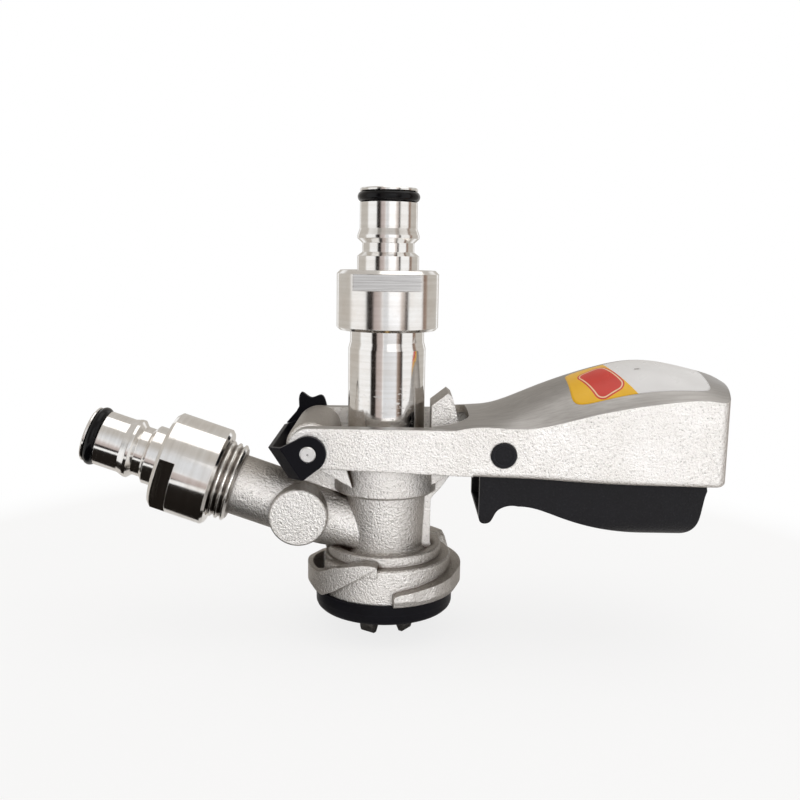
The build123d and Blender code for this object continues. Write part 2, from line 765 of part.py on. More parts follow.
def trigger_end_view():
    """The trigger seen from the front: straight sides with a round lower edge."""
    return Pos(0, 45) * RectangleRounded(2 * trigger_half, 40, 6.0)


def trigger():
    """The moulded trigger: a hollow shell with two ears on the pin and a tooth for the catch."""
    shell = across(trigger_outline(), -trigger_half, trigger_half)
    end_view = Plane(origin=(0, 0, 0), x_dir=(0, 1, 0), z_dir=(1, 0, 0)) * trigger_end_view()
    shell = shell & extrude(end_view, 120)
    room_half = trigger_half - trigger_wall
    shell -= across(trigger_room(), -room_half, room_half)
    web = make_face(Polyline((trigger_front, 40), (trigger_front, 47), (trigger_x - 3.4, trigger_z + 1.6),
                             (trigger_x + 3.4, trigger_z + 1.6), (trigger_x + 9, 44), (trigger_x + 9, 40),
                             close=True))
    ear = web + Pos(trigger_x, trigger_z) * Circle(trigger_ear_radius)
    ears = across(ear, room_half - 0.5, trigger_half) + across(ear, -trigger_half, 0.5 - room_half)
    nose_x = hinge_x + catch_radius + 0.6
    tooth_x = nose_x - 0.7
    nose = make_face(Polyline(
        (nose_x, 50.6), (nose_x, 44.4), (tooth_x, 43.4), (tooth_x, 41.4), (tooth_x + 2.3, 40.8),
        (trigger_front + 2, 40.8), (trigger_front + 2, 45.5), (nose_x + 2.7, 50.6), close=True))
    pawl = across(nose, -pawl_half, pawl_half)
    bridge = across(Pos(trigger_front + 1.1, 43.2) * Rectangle(2.2, 4.6), -room_half - 0.5, room_half + 0.5)
    solid = shell + ears + pawl + bridge
    return solid - rod_y(trigger_x, trigger_z, trigger_pin_radius + fit_gap, -20, 20)


# ---------------------------------------------------------------- files

pieces = {
    "body": body(),
    "base_seal": base_seal(),
    "stem_oring": stem_oring(),
    "gas_check_valve": gas_check_valve(),
    "hinge_pin": hinge_pin(),
    "hinge_clip": hinge_clip(),
    "probe": probe(),
    "probe_crown": probe_crown(),
    "probe_tip_seal": probe_tip_seal(),
    "check_ball": check_ball(),
    "ball_stop_pin": ball_stop_pin(),
    "lever": lever(),
    "drive_rollers": Compound(children=drive_rollers()),
    "trigger_pin": trigger_pin(),
    "trigger_spring": trigger_spring(),
    "trigger": trigger(),
}
for side, place in (("beer", beer_place()), ("gas", gas_place(gas_nut_reach) * Rot(0, 0, gas_post_turn))):
    pieces[side + "_post"] = place * post()
    pieces[side + "_post_oring"] = place * post_oring()
    pieces[side + "_washer"] = place * washer()
    pieces[side + "_poppet"] = place * poppet()
    pieces[side + "_poppet_seal"] = place * poppet_seal()
    pieces[side + "_poppet_spring"] = place * poppet_spring()

for name, piece in pieces.items():
    export_step(piece, os.path.join("parts", name + ".step"))
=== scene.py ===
# %% [markdown]
# # A keg coupler, dressed
# The imported model is the fixed frame: every rigid part is there at its real size, in metres. This
# script gives each surface its finish, adds the thin pieces that are skin rather than structure, and
# sets a pale studio around it. Seats, axes and joints are read from the frame. The label's plan, the
# finishes and the studio's tones are chosen and written here as named or commented values.

# %% Load the frame
import json
import math

import bpy
import numpy as np
from mathutils import Matrix, Vector


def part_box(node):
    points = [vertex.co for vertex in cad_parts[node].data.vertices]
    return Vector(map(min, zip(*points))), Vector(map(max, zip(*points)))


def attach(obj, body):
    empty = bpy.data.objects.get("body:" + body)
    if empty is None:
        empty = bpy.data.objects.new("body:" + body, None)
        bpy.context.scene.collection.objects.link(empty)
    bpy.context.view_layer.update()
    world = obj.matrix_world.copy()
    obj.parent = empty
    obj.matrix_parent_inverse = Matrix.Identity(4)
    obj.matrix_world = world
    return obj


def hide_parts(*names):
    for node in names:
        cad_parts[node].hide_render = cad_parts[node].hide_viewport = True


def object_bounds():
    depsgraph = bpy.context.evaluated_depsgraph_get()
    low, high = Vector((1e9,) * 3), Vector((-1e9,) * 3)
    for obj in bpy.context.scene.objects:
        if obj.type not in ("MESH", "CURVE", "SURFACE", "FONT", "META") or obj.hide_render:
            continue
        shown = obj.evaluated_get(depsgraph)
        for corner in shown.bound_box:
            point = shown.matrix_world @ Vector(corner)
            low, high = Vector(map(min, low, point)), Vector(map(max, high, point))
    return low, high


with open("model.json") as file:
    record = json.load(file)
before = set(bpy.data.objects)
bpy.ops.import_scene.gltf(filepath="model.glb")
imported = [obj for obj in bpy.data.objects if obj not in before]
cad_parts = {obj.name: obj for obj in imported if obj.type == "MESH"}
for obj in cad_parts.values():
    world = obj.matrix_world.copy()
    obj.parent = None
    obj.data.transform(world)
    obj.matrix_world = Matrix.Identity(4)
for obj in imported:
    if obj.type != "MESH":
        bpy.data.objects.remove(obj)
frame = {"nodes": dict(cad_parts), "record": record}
cad_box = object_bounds()
nodes = frame["nodes"]
mm = 0.001
print("pieces in the frame:", len(nodes))

# %% [markdown]
# Directions that the finishes need come from the record. The gas plug's mount gives the slope of the
# gas arm, and the lever's joint gives the line of the hinge pin.

# %% Directions from the record
mounts = {m["name"]: m for m in frame["record"]["mounts"]}
joints = {j["name"]: j for j in frame["record"]["behaviour"]["joints"]}
gas_axis = Vector(mounts["gas_post_plug"]["axis"]).normalized()
gas_slope = math.atan2(gas_axis.z, -gas_axis.x)
hinge_point = Vector(joints["lever_hinge"]["pos_m"])
upright_lean = math.pi / 2 - gas_slope
gas_point = Vector(mounts["gas_post_plug"]["pos_m"])
gas_root = gas_point - gas_axis * (gas_point.x / gas_axis.x)
gas_thread_low = 45.9 * mm  # where the gas arm's thread begins, along the arm from its root
print("gas arm slope", round(math.degrees(gas_slope), 2), "degrees, from", round(gas_root.z, 4))

# %% [markdown]
# ## A small kit for node materials
# A finish is a Principled shader fed by a few procedural patterns. The helpers keep each finish
# readable: every one adds a node, wires it up and hands back the socket that carries the result.

# %% Material helpers
class Finish:
    """A material being built: its node tree, its main shader and a source of object coordinates."""

    def __init__(self, name):
        self.material = bpy.data.materials.new(name)
        self.material.use_nodes = True
        self.tree = self.material.node_tree
        self.shader = self.tree.nodes["Principled BSDF"]
        self.coordinates = self.add("ShaderNodeTexCoord").outputs["Object"]

    def add(self, kind, **values):
        """A new node; a value named like a socket sets that socket, any other sets a property."""
        node = self.tree.nodes.new(kind)
        for key, value in values.items():
            socket = node.inputs.get(key.replace("_", " "))
            if socket is None:
                setattr(node, key, value)
            else:
                socket.default_value = value
        return node

    def feed(self, socket, value):
        """Links a socket to a result, or sets it to a constant."""
        if isinstance(value, bpy.types.NodeSocket):
            self.tree.links.new(value, socket)
        elif isinstance(value, tuple) and len(value) == 3 and socket.type == "RGBA":
            socket.default_value = (*value, 1)
        else:
            socket.default_value = value

    def shade(self, **values):
        """Feeds the main shader's own sockets."""
        for key, value in values.items():
            self.feed(self.shader.inputs[key.replace("_", " ")], value)

    def placed(self, scale=(1, 1, 1), turn=(0, 0, 0), origin=(0, 0, 0)):
        """Object coordinates moved to an origin, then turned, then stretched."""
        centred = self.add("ShaderNodeVectorMath", operation="SUBTRACT")
        self.feed(centred.inputs[0], self.coordinates)
        self.feed(centred.inputs[1], tuple(origin))
        turned = self.add("ShaderNodeMapping", Rotation=turn)
        self.feed(turned.inputs["Vector"], centred.outputs[0])
        stretched = self.add("ShaderNodeVectorMath", operation="MULTIPLY")
        self.feed(stretched.inputs[0], turned.outputs[0])
        self.feed(stretched.inputs[1], tuple(scale))
        return stretched.outputs[0]

    def noise(self, scale, detail=2.0, roughness=0.5, vector=None):
        """Fractal noise; its features are about 1 / scale metres across."""
        node = self.add("ShaderNodeTexNoise", Scale=scale, Detail=detail, Roughness=roughness)
        self.feed(node.inputs["Vector"], vector or self.coordinates)
        return node.outputs["Fac"]

    def ramp(self, value, stops):
        """A colour ramp from (position, colour) stops; a plain number stands for a grey."""
        node = self.add("ShaderNodeValToRGB")
        while len(node.color_ramp.elements) < len(stops):
            node.color_ramp.elements.new(0.5)
        for element, (position, colour) in zip(node.color_ramp.elements, stops):
            element.position = position
            element.color = (*colour, 1) if isinstance(colour, tuple) else (colour, colour, colour, 1)
        self.feed(node.inputs["Fac"], value)
        return node.outputs["Color"]

    def mix(self, factor, first, second, blend="MIX"):
        """Mixes two colours; each is a result or a constant colour."""
        node = self.add("ShaderNodeMix", data_type="RGBA", blend_type=blend)
        self.feed(node.inputs[0], factor)
        self.feed(node.inputs[6], first)
        self.feed(node.inputs[7], second)
        return node.outputs[2]

    def times(self, first, second):
        """The product of two colours, for darkening one by the other."""
        return self.mix(1.0, first, second, "MULTIPLY")

    def math(self, operation, first, second=0.0):
        """One arithmetic step on results or plain numbers."""
        node = self.add("ShaderNodeMath", operation=operation)
        self.feed(node.inputs[0], first)
        self.feed(node.inputs[1], second)
        return node.outputs[0]

    def split(self, vector):
        """The x, y and z of a vector."""
        node = self.add("ShaderNodeSeparateXYZ")
        self.feed(node.inputs[0], vector)
        return node.outputs

    def step(self, value, low, high):
        """A soft step: 0 below low, 1 above high (or the other way round)."""
        node = self.add("ShaderNodeMapRange", interpolation_type="SMOOTHSTEP",
                        From_Min=low, From_Max=high)
        self.feed(node.inputs["Value"], value)
        return node.outputs["Result"]

    def bump(self, height, distance, strength=1.0, before=None):
        """Normals bent by a height pattern of a distance, on top of the normals before."""
        node = self.add("ShaderNodeBump", Distance=distance)
        self.feed(node.inputs["Height"], height)
        self.feed(node.inputs["Strength"], strength)
        if before is not None:
            self.feed(node.inputs["Normal"], before)
        return node.outputs["Normal"]

    def soft_edges(self, radius):
        """Shading normals that round off every sharp edge by a radius."""
        return self.add("ShaderNodeBevel", samples=6, Radius=radius).outputs["Normal"]

    def edge_wear_and_highlight(self, rounded, low, high):
        """1 along edges, where the rounded normals part from the true ones; the finishes paint edges
        lighter with it, partly as wear and partly as a painted highlight.
        """
        true = self.add("ShaderNodeNewGeometry").outputs["True Normal"]
        dot = self.add("ShaderNodeVectorMath", operation="DOT_PRODUCT")
        self.feed(dot.inputs[0], rounded)
        self.feed(dot.inputs[1], true)
        return self.step(dot.outputs["Value"], high, low)


print("finish kit ready")

# %% [markdown]
# ## Blasted cast stainless
# Body and lever are investment castings, bead-blasted to a bright grain. The blast leaves dimples of
# about half a millimetre. They show as fine dark specks on a face that catches the light, so the
# grain goes into the colour as well as into the bump. Skin that turns sideways or up is painted darker,
# a painted shade chosen for contrast that stays with the material, whatever light falls on it. Corners
# get painted shade, and edges are rounded and painted a little brighter, partly as wear and partly as
# a painted highlight.

# %% Cast stainless
white = (1.0, 1.0, 1.0)
cast_light = (1.0, 0.985, 0.965)
cast_deep = (0.90, 0.88, 0.85)
# colour of the painted shade in the castings' corners
corner_shade_colour = (0.12, 0.09, 0.07)
dimple_depth = 0.36 * mm
pit_depth = 0.34 * mm


def blasted_grain(finish):
    """Colour and height of the blasted skin: fine dimples, a few deeper pits, a slow drift of tone."""
    dimples = finish.noise(1650.0, detail=4.0, roughness=0.64)
    pits = finish.noise(800.0, detail=3.0, roughness=0.7)
    drift = finish.noise(70.0, detail=2.0)
    tone = finish.ramp(drift, [(0.3, cast_deep), (0.7, cast_light)])
    specks = finish.ramp(dimples, [(0.30, 0.55), (0.42, 1.0)])
    deep = finish.ramp(pits, [(0.22, 0.45), (0.27, 1.0)])
    return finish.times(finish.times(tone, specks), deep), dimples, pits


def blasted_relief(finish, dimples, pits, share, rounded):
    """Normals of the blasted skin where share is 1, and the plain rounded ones where it is 0."""
    normal = finish.bump(dimples, dimple_depth, share, rounded)
    return finish.bump(pits, pit_depth, finish.math("MULTIPLY", share, 0.5), normal)


def blasted_gloss(finish, dimples):
    """Dimples shine a little less than the skin between them."""
    return finish.ramp(dimples, [(0.3, 0.42), (0.7, 0.30)])


def painted_side_shade(finish, colour, normal):
    """Painted shade: full tone where the skin looks to the front or the back, darker where it turns
    sideways or up.
    """
    across = finish.math("ABSOLUTE", finish.split(normal)["Y"])
    # painted shade: a darker, warmer colour as the skin turns from the front towards the sides and the
    # top
    side_shade = finish.ramp(across, [(0.0, (0.27, 0.25, 0.23)), (0.50, (0.46, 0.43, 0.40)),
                                (0.80, (0.80, 0.78, 0.76)), (0.93, white)])
    return finish.times(colour, side_shade)


def painted_corner_shade(finish, colour, reach):
    """Painted shade: darkens the corners where one part of a casting meets another, out to a reach."""
    hollow = finish.add("ShaderNodeAmbientOcclusion", samples=8, only_local=True, Distance=reach)
    return finish.mix(finish.step(hollow.outputs["AO"], 0.80, 0.30), colour, corner_shade_colour)


def cast_stainless():
    """The body's skin: blasted all over, and machined bright on the gas arm's thread."""
    finish = Finish("cast_stainless")
    colour, dimples, pits = blasted_grain(finish)
    rounded = finish.soft_edges(0.45 * mm)
    worn_and_highlit = finish.edge_wear_and_highlight(rounded, 0.80, 0.97)
    # edges painted lighter: partly wear, partly a painted highlight
    colour = finish.mix(finish.math("MULTIPLY", worn_and_highlit, 0.5), colour, (0.88, 0.87, 0.85))
    along = finish.split(finish.placed(turn=(0, upright_lean, 0), origin=gas_root))["Z"]
    machined = finish.step(along, gas_thread_low - 0.2 * mm, gas_thread_low)
    cast = finish.math("SUBTRACT", 1.0, machined)
    normal = blasted_relief(finish, dimples, pits, cast, rounded)
    # painted side shade on the blasted skin; the machined thread keeps its own colour
    colour = finish.mix(machined, painted_side_shade(finish, colour, normal), (0.84, 0.82, 0.79))
    # painted shade in the body's corners
    colour = painted_corner_shade(finish, colour, 2.0 * mm)
    rough = finish.mix(machined, blasted_gloss(finish, dimples), (0.16, 0.16, 0.16))
    finish.shade(Metallic=1.0, Base_Color=colour, Normal=normal, Roughness=rough)
    return finish.material


# %% [markdown]
# The lever is the same casting, but its back is linished: long fine strokes run along the handle on
# every face that looks up, and the blasted sides begin at the shoulder. One mask, read from how far
# the surface faces up, blends the two skins. The linished back's colour is also kept dark, a painted
# shade on those up-facing faces, under the strokes.

# %% Lever casting
def lever_casting():
    """Blasted sides and a linished back, the back painted dark as shade on the faces that look up."""
    finish = Finish("lever_casting")
    colour, dimples, pits = blasted_grain(finish)
    up = finish.split(finish.add("ShaderNodeNewGeometry").outputs["True Normal"])["Z"]
    back = finish.step(up, 0.45, 0.62)
    blasted = finish.math("SUBTRACT", 1.0, back)
    strokes = finish.noise(1.0, detail=4.0, roughness=0.65, vector=finish.placed(scale=(60, 2600, 900)))
    broad = finish.noise(1.0, detail=3.0, vector=finish.placed(scale=(25, 260, 260)))
    # painted shade: the linished back gets a dark tone, far darker than the blasted sides, because it
    # faces up
    brushed_back_shaded = finish.ramp(strokes, [(0.3, (0.36, 0.345, 0.33)), (0.7, (0.45, 0.435, 0.42))])
    uneven = finish.ramp(broad, [(0.3, 0.88), (0.7, 1.0)])
    brushed_back_shaded = finish.mix(0.6, brushed_back_shaded, uneven, "MULTIPLY")
    rounded = finish.soft_edges(0.6 * mm)
    worn_and_highlit = finish.edge_wear_and_highlight(rounded, 0.80, 0.97)
    normal = blasted_relief(finish, dimples, pits, blasted, rounded)
    normal = finish.bump(strokes, 0.02 * mm, finish.math("MULTIPLY", back, 0.4), normal)
    # painted shade: blasted sides darker where they turn sideways or up, the back in its dark shaded
    # tone
    colour = finish.mix(back, painted_side_shade(finish, colour, normal), brushed_back_shaded)
    # edges painted lighter: partly wear, partly a painted highlight
    colour = finish.mix(finish.math("MULTIPLY", worn_and_highlit, 0.4), colour, (0.80, 0.79, 0.77))
    # painted shade in the lever's corners
    colour = painted_corner_shade(finish, colour, 2.0 * mm)
    rough = finish.mix(back, blasted_gloss(finish, dimples),
                       finish.ramp(strokes, [(0.3, 0.44), (0.7, 0.34)]))
    finish.shade(Metallic=1.0, Base_Color=colour, Normal=normal, Roughness=rough)
    return finish.material


print("castings ready")

# %% [markdown]
# ## Turned stainless
# The probe and the two posts come off a lathe and keep the fine rings of the tool, round their own
# axis. The pattern reads the distance along that axis, so the slanted post needs turned coordinates.
# The posts are coarser than the polished tube, and the upright post's wrench flats are milled in
# straight lines.

# %% Turned stainless
def turned_stainless(name, seat, slope, gloss, depth):
    """Lathe finish: hair-fine rings round an axis that leans by slope from upright at the seat."""
    finish = Finish(name)
    turn = (0, slope, 0)
    rings = finish.noise(1.0, detail=4.0, roughness=0.7,
                         vector=finish.placed((30, 30, 5200), turn, seat))
    bands = finish.noise(1.0, detail=2.0, vector=finish.placed((20, 20, 900), turn, seat))
    smudge = finish.noise(110.0, detail=4.0, roughness=0.6)
    tone = finish.ramp(bands, [(0.35, (0.84, 0.825, 0.80)), (0.65, (0.91, 0.90, 0.885))])
    warm = finish.ramp(smudge, [(0.40, white), (0.75, (0.93, 0.895, 0.865))])
    gloss_now = finish.mix(0.5, finish.ramp(rings, [(0.3, gloss), (0.7, gloss + 0.12)]),
                           finish.ramp(smudge, [(0.4, gloss), (0.7, gloss + 0.10)]))
    normal = finish.bump(rings, depth, 0.8, finish.soft_edges(0.25 * mm))
    finish.shade(Metallic=1.0, Base_Color=finish.times(tone, warm), Roughness=gloss_now, Normal=normal)
    return finish


def scuffed_tube(seat):
    """The probe's tube: polished, and scuffed round the hinge's height where it runs in the body."""
    finish = turned_stainless("polished_tube", seat, 0.0, 0.05, 0.002 * mm)
    height = finish.split(finish.coordinates)["Z"]
    low = finish.step(height, seat.z - 12 * mm, seat.z - 22 * mm)
    nicks = finish.noise(1.0, detail=4.0, roughness=0.75, vector=finish.placed((420, 420, 1500)))
    bite = finish.math("MULTIPLY", low, finish.step(nicks, 0.60, 0.68))
    before = finish.shader.inputs["Normal"].links[0].from_socket
    finish.shade(Normal=finish.bump(bite, 0.05 * mm, 0.5, before))
    return finish


def milled_flats(finish):
    """Fine cutter lines along the upright post's two wrench flats."""
    flat_middle = 13.4 * mm
    half_height = 2.2 * mm
    edge = 0.2 * mm
    face = 10.9 * mm
    place = finish.split(finish.coordinates)
    outward = finish.step(finish.math("ABSOLUTE", place["Y"]), face - edge, face)
    height = finish.math("SUBTRACT", place["Z"], probe_top.z)
    from_middle = finish.math("ABSOLUTE", finish.math("SUBTRACT", height, flat_middle))
    inside = finish.step(from_middle, half_height + edge, half_height)
    flat = finish.math("MULTIPLY", outward, inside)
    lines = finish.noise(1.0, detail=3.0, roughness=0.7, vector=finish.placed((60, 60, 3600)))
    tone = finish.ramp(lines, [(0.35, (0.56, 0.54, 0.52)), (0.65, (0.78, 0.76, 0.74))])
    before = finish.shader.inputs["Base Color"].links[0].from_socket
    finish.shade(Base_Color=finish.mix(flat, before, tone))
    return finish


# %% Smooth bright steel
def bright_steel():
    """Ground pin steel with lathe marks round the middle of the hinge pin's faced end, and painted shade
    for a small dimple at its centre.
    """
    finish = Finish("bright_steel")
    marks = finish.noise(900.0, detail=3.0)
    around = finish.placed((1, 0, 1), (0, 0, 0), hinge_point)
    radius = finish.add("ShaderNodeVectorMath", operation="LENGTH")
    finish.feed(radius.inputs[0], around)
    from_middle = radius.outputs["Value"]
    facing = finish.math("SINE", finish.math("MULTIPLY", from_middle, 21000.0))
    # painted shade: the colour darkens towards the centre of the pin's end, standing in for a dimple
    centre_dimple_shade = finish.step(from_middle, 0.18 * mm, 0.40 * mm)
    tone = finish.ramp(marks, [(0.3, (0.86, 0.855, 0.84)), (0.7, (0.93, 0.93, 0.92))])
    colour = finish.times(tone, finish.ramp(centre_dimple_shade, [(0.0, 0.45), (1.0, 1.0)]))
    normal = finish.bump(facing, 0.004 * mm, 0.5, finish.soft_edges(0.2 * mm))
    finish.shade(Metallic=1.0, Base_Color=colour, Normal=normal,
                 Roughness=finish.ramp(marks, [(0.3, 0.36), (0.7, 0.24)]))
    return finish.material


print("turned finishes ready")

# %% [markdown]
# ## Rubber and plastics
# Seals are near-black rubber with a dull skin, and the O-rings the same rubber, but oiled and glossy.
# The trigger is black polyamide with a sparkling moulded grain, its sparkle partly painted into the
# colour as glints;
# the clip is smoother. On black parts the light is all in the edges, so each gets rounded shading
# normals, and its edges are painted lighter, partly as wear and partly as a painted highlight.

# %% Black materials
def black_moulding(name, colour, gloss, grain_scale, grain_depth, shine, painted_glint_grey=0.0):
    """A black moulded skin: slight cloudiness, a fine grain in the bump and in the gloss, painted glints
    on that grain, and edges painted lighter as part wear, part painted highlight.
    """
    finish = Finish(name)
    grain = finish.noise(grain_scale, detail=3.0, roughness=0.65)
    cloud = finish.noise(110.0, detail=3.0)
    rounded = finish.soft_edges(0.45 * mm)
    worn_and_highlit = finish.edge_wear_and_highlight(rounded, 0.78, 0.96)
    darker = tuple(0.6 * c for c in colour)
    tone = finish.ramp(cloud, [(0.3, darker), (0.7, colour)])
    # painted glints: light grey added to the colour on the grain's peaks
    painted_glints = finish.ramp(grain, [(0.55, (0, 0, 0)), (0.75, (painted_glint_grey, painted_glint_grey, painted_glint_grey * 1.1))])
    tone = finish.mix(1.0, tone, painted_glints, "ADD")
    # edges painted much lighter than the black: partly wear, partly a painted highlight
    tone = finish.mix(finish.math("MULTIPLY", worn_and_highlit, 0.7), tone, tuple(4.0 * c + 0.01 for c in colour))
    finish.shade(Base_Color=tone, Specular_IOR_Level=shine,
                 Roughness=finish.ramp(grain, [(0.3, gloss + 0.12), (0.7, gloss)]),
                 Normal=finish.bump(grain, grain_depth, 0.7, rounded))
    return finish.material


# %% Light plastic, plated wire and bronze
def pale_plastic():
    """Milky polyamide of the washers and the check ball."""
    finish = Finish("pale_plastic")
    cloud = finish.noise(200.0, detail=2.0)
    finish.shade(Base_Color=finish.ramp(cloud, [(0.3, (0.72, 0.72, 0.69)), (0.7, (0.80, 0.80, 0.77))]),
                 Roughness=finish.ramp(cloud, [(0.3, 0.42), (0.7, 0.34)]))
    return finish.material


def plated_metal(name, first, second, gloss):
    """A warm plated or bronze surface with soft mottling."""
    finish = Finish(name)
    mottle = finish.noise(500.0, detail=3.0)
    finish.shade(Metallic=1.0, Base_Color=finish.ramp(mottle, [(0.3, first), (0.7, second)]),
                 Roughness=finish.ramp(mottle, [(0.3, gloss + 0.12), (0.7, gloss)]),
                 Normal=finish.bump(mottle, 0.02 * mm, 0.4))
    return finish.material


# %% Give every node its finish
beer_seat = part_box("beer_post")[0]
probe_top = Vector((0, 0, beer_seat.z))
casting = cast_stainless()
lever_skin = lever_casting()
tube_skin = scuffed_tube(probe_top).material
upright_finish = turned_stainless("turned_stainless_upright", probe_top, 0.0, 0.09, 0.005 * mm)
slanted_finish = turned_stainless("turned_stainless_slanted", gas_root, upright_lean, 0.08, 0.004 * mm)
upright_turned = milled_flats(upright_finish).material
slanted_turned = slanted_finish.material
pin_steel = bright_steel()
seal_rubber = black_moulding("seal_rubber", (0.005, 0.005, 0.009), 0.34, 1500.0, 0.02 * mm, 0.16)
oiled_rubber = black_moulding("oiled_rubber", (0.003, 0.003, 0.004), 0.14, 700.0, 0.006 * mm, 0.22)
trigger_plastic = black_moulding("trigger_plastic", (0.004, 0.004, 0.008), 0.30, 1700.0, 0.30 * mm,
                                 0.34, 0.012)
clip_plastic = black_moulding("clip_plastic", (0.004, 0.004, 0.008), 0.36, 2000.0, 0.02 * mm, 0.15)
milky = pale_plastic()
plated = plated_metal("plated_wire", (0.55, 0.42, 0.16), (0.80, 0.66, 0.30), 0.25)
bronze = plated_metal("bronze", (0.42, 0.30, 0.15), (0.60, 0.45, 0.24), 0.30)
dull_steel = plated_metal("dull_steel", (0.12, 0.11, 0.10), (0.22, 0.21, 0.20), 0.34)

finishes = {
    casting: ("body",),
    lever_skin: ("lever",),
    tube_skin: ("probe",),
    upright_turned: ("beer_post",),
    slanted_turned: ("gas_post",),
    dull_steel: ("probe_crown",),
    pin_steel: ("hinge_pin", "ball_stop_pin", "gas_poppet", "beer_poppet"),
    seal_rubber: ("base_seal", "probe_tip_seal", "gas_check_valve", "gas_poppet_seal",
                  "beer_poppet_seal"),
    oiled_rubber: ("gas_post_oring", "beer_post_oring", "stem_oring"),
    trigger_plastic: ("trigger", "trigger_pin"),
    clip_plastic: ("hinge_clip",),
    milky: ("check_ball", "gas_washer", "beer_washer"),
    plated: ("trigger_spring", "gas_poppet_spring", "beer_poppet_spring"),
    bronze: ("drive_rollers",),
}
for material, names in finishes.items():
    for name in names:
        slots = nodes[name].material_slots
        for index in range(len(slots)):
            slots[index].material = material
print("finished nodes:", sum(len(names) for names in finishes.values()))

# %% [markdown]
# ## Thin pieces
# Two things are better drawn here than in the solids. The base seal is soft rubber with rounded lips
# and a mould line, so a turned skin stands for its plain ring. The handle wears a printed label, a
# film that follows the dome.

# %% Mesh helpers
def piece_from_grid(name, points, close_rows=False, close_columns=False):
    """A mesh from a rows x columns x 3 array; a closed way wraps round to its start."""
    rows, columns = points.shape[:2]
    index = np.arange(rows * columns).reshape(rows, columns)
    if close_rows:
        index = np.concatenate([index, index[:1]])
    if close_columns:
        index = np.concatenate([index, index[:, :1]], axis=1)
    faces = np.stack([index[:-1, :-1], index[:-1, 1:], index[1:, 1:], index[1:, :-1]], axis=-1)
    mesh = bpy.data.meshes.new(name)
    mesh.from_pydata(points.reshape(-1, 3).tolist(), [], faces.reshape(-1, 4).tolist())
    mesh.shade_smooth()
    piece = bpy.data.objects.new(name, mesh)
    bpy.context.collection.objects.link(piece)
    return piece


def rounded_profile(corners, steps=6):
    """Rounds each (radius, height, fillet) corner of a closed profile with an arc of equal tangents."""
    points = np.array(corners)[:, :2]
    fillets = np.array(corners)[:, 2]
    before = np.roll(points, 1, axis=0) - points
    after = np.roll(points, -1, axis=0) - points
    before /= np.linalg.norm(before, axis=1)[:, None]
    after /= np.linalg.norm(after, axis=1)[:, None]
    half_angle = np.arccos(np.clip((before * after).sum(axis=1), -1, 1)) / 2
    middle_way = before + after
    middle_way /= np.linalg.norm(middle_way, axis=1)[:, None]
    centre = points + middle_way * (fillets / np.sin(half_angle))[:, None]
    start = points + before * (fillets / np.tan(half_angle))[:, None] - centre
    end = points + after * (fillets / np.tan(half_angle))[:, None] - centre
    share = np.linspace(0, 1, steps)[None, :, None]
    chord = start[:, None] * (1 - share) + end[:, None] * share
    length = np.linalg.norm(chord, axis=2, keepdims=True)
    arcs = centre[:, None] + chord / length * fillets[:, None, None]
    return arcs.reshape(-1, 2)


def turned_piece(name, profile, segments=160):
    """A closed profile of (radius, height) carried round the Z axis."""
    angle = np.linspace(0, 2 * math.pi, segments, endpoint=False)
    radius = profile[:, 0][:, None]
    points = np.stack([radius * np.cos(angle), radius * np.sin(angle),
                       np.repeat(profile[:, 1][:, None], segments, axis=1)], axis=-1)
    return piece_from_grid(name, points, close_rows=True, close_columns=True)


print("mesh helpers ready")

# %% Base seal
def base_seal_skin():
    """The seal as moulded: a round lower edge, a mould line round the outside, and its lip."""
    low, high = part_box("base_seal")
    outer = high.x
    bore = 12.0 * mm
    ring_top = 6.0 * mm
    line = 2.9 * mm
    lip_outer = 16.4 * mm
    lip_inner = 13.6 * mm
    fine = 0.03 * mm
    corner = 0.05 * mm
    lip = 0.3 * mm
    profile = rounded_profile([
        (bore, low.z, 0.8 * mm), (outer, low.z, 1.7 * mm), (outer, line, fine),
        (outer + 0.04 * mm, line + 0.1 * mm, fine), (outer, line + 0.2 * mm, fine),
        (outer, ring_top, 0.25 * mm), (lip_outer, ring_top, corner), (lip_outer, high.z, lip),
        (lip_inner, high.z, lip), (lip_inner, ring_top, corner), (bore, ring_top, lip),
    ])
    seal = turned_piece("base_seal_skin", profile)
    seal.data.materials.append(seal_rubber)
    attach(seal, "housing")
    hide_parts("base_seal")
    return seal


seal = base_seal_skin()
print("seal faces", len(seal.data.polygons))

# %% [markdown]
# ## Label
# The label is a thin printed film on the outer half of the handle's back, towards its -Y side. Its plan
# is a superellipse, dropped onto the dome and given a film's thickness. The print is three plain
# fields: a yellow end with a red badge, and a white end. It carries no words.

